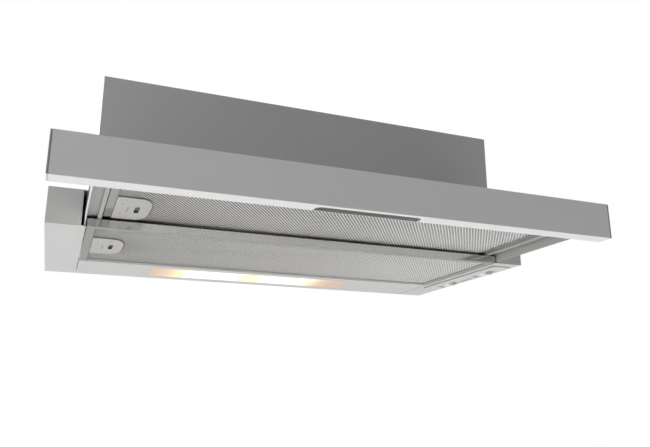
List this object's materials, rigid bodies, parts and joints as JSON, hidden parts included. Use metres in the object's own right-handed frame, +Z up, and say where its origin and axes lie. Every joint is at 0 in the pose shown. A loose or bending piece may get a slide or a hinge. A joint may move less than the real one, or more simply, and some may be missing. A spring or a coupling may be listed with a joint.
{
  "type": "pull out range hood",
  "caption": "Slim under-cabinet range hood with a fan housing, grease filters, lamp strip and a filter drawer that pulls out behind a front bar.",
  "frame": {"origin": "centre of the four cabinet screw holes, in the top face of the base", "axes": "+X to the right as the cook sees it, +Y to the wall, +Z up; the drawer pulls out along -Y"},
  "size_m": [0.6, 0.4443, 0.2106],
  "materials": {
    "bar_finish": "fine brushed, satin clear coat",
    "cap_grey": "moulded, satin",
    "grip_grey": "moulded, fine texture",
    "rail_paint": "warm grey powder coat",
    "base_paint": "light grey powder coat",
    "housing_paint": "grey powder coat",
    "zinc": "zinc plated",
    "bright_steel": "polished",
    "brass": "satin",
    "filter_frame": "satin, folded strip",
    "filter_mesh": "expanded metal, bright edges",
    "latch_plastic": "moulded, light warm grey",
    "panel_plastic": "moulded, off-white",
    "black_plastic": "moulded, black",
    "rubber": "matt",
    "lens": "frosted, lit from behind",
    "lamp_glass": "clear, glowing filament",
    "scroll_zinc": "galvanised sheet with spangle",
    "motor_steel": "lacquered steel can",
    "lead_black": "flexible sleeve"
  },
  "bodies": {
    "base": {"runner_outer_left": "zinc", "runner_outer_right": "zinc", "runner_hanger_left": "zinc", "runner_hanger_right": "zinc", "hanger_rivets": "zinc", "side_box_left": "base_paint", "side_box_right": "base_paint", "base_top_plate": "base_paint", "rear_strip": "base_paint", "control_plate": "panel_plastic", "light_switch": "black_plastic", "fan_switch": "black_plastic", "drawer_switch": "black_plastic", "lamp_tray": "bright_steel", "lampholders": "panel_plastic", "lamp_left": "lamp_glass", "lamp_right": "lamp_glass", "housing_shell": "housing_paint", "housing_back": "housing_paint", "housing_screws": "zinc", "scroll_left": "scroll_zinc", "scroll_right": "scroll_zinc", "motor": "motor_steel", "motor_bracket": "zinc", "motor_mounts": "rubber", "capacitor": "panel_plastic", "terminal_box": "panel_plastic", "terminal_cover": "panel_plastic", "inner_wiring": "lead_black", "cable_gland": "black_plastic", "outlet_collar": "black_plastic", "flap_pin": "bright_steel"},
    "drawer": {"front_bar": "bar_finish", "end_cap_left": "cap_grey", "end_cap_right": "cap_grey", "grip_liner": "grip_grey", "drawer_fasteners": "zinc", "drawer_rail_left": "rail_paint", "drawer_rail_right": "rail_paint", "drawer_front_panel": "rail_paint", "drawer_crossbar": "rail_paint", "runner_inner_left": "zinc", "runner_inner_right": "zinc", "front_filter_frame": "filter_frame", "front_filter_mesh": "filter_mesh"},
    "ball_cages": {"ball_cage_left": "brass", "ball_cage_right": "brass", "runner_balls": "bright_steel"},
    "front_latch": {"front_filter_latch": "latch_plastic"},
    "rear_filter": {"rear_filter_frame": "filter_frame", "rear_filter_mesh": "filter_mesh"},
    "rear_latch": {"rear_filter_latch": "latch_plastic"},
    "light_slider": {"light_knob": "panel_plastic"},
    "fan_slider": {"fan_knob": "panel_plastic"},
    "switch_plunger": {"drawer_switch_plunger": "latch_plastic"},
    "lens_cover": {"lamp_lens": "lens"},
    "fan_wheel": {"impeller": "black_plastic", "motor_shaft": "bright_steel"},
    "flap_front": {"flap_front": "black_plastic"},
    "flap_rear": {"flap_rear": "black_plastic"}
  },
  "joints": [
    {"name": "drawer_slide", "type": "slide", "parent": "base", "child": "drawer", "axis": [0, 1, 0], "range_m": [0, 0.144]},
    {"name": "ball_cage_slide", "type": "slide", "parent": "base", "child": "ball_cages", "axis": [0, 1, 0], "range_m": [0, 0.072]},
    {"name": "front_latch_slide", "type": "slide", "parent": "drawer", "child": "front_latch", "axis": [1, 0, 0], "range_m": [0, 0.004], "stiffness_N_per_m": 600, "springref_m": -0.002},
    {"name": "rear_filter_swing", "type": "hinge", "parent": "base", "child": "rear_filter", "pos_m": [0.2587, -0.0465, -0.04], "axis": [0, -1, 0], "range_deg": [0, 35]},
    {"name": "rear_latch_slide", "type": "slide", "parent": "rear_filter", "child": "rear_latch", "axis": [1, 0, 0], "range_m": [0, 0.004], "stiffness_N_per_m": 600, "springref_m": -0.002},
    {"name": "light_slider_slide", "type": "slide", "parent": "base", "child": "light_slider", "axis": [0, 1, 0], "range_m": [-0.013, 0.013]},
    {"name": "fan_slider_slide", "type": "slide", "parent": "base", "child": "fan_slider", "axis": [0, 1, 0], "range_m": [-0.013, 0.013]},
    {"name": "drawer_switch_press", "type": "slide", "parent": "base", "child": "switch_plunger", "axis": [0, 1, 0], "range_m": [0, 0.0015], "stiffness_N_per_m": 300, "springref_m": -0.002},
    {"name": "lens_swing", "type": "hinge", "parent": "base", "child": "lens_cover", "pos_m": [0.13485, 0.0914, -0.04], "axis": [0, -1, 0], "range_deg": [0, 60]},
    {"name": "fan_wheel_spin", "type": "hinge", "parent": "base", "child": "fan_wheel", "pos_m": [0, -0.005, 0.072], "axis": [1, 0, 0], "continuous": true},
    {"name": "flap_front_hinge", "type": "hinge", "parent": "base", "child": "flap_front", "pos_m": [0, 0.04224, 0.1455], "axis": [-1, 0, 0], "range_deg": [0, 78]},
    {"name": "flap_rear_hinge", "type": "hinge", "parent": "base", "child": "flap_rear", "pos_m": [0, 0.04224, 0.1455], "axis": [1, 0, 0], "range_deg": [0, 78]}
  ],
  "couplings": [
    {"joint": "ball_cage_slide", "follows": "drawer_slide", "ratio": 0.5}
  ]
}
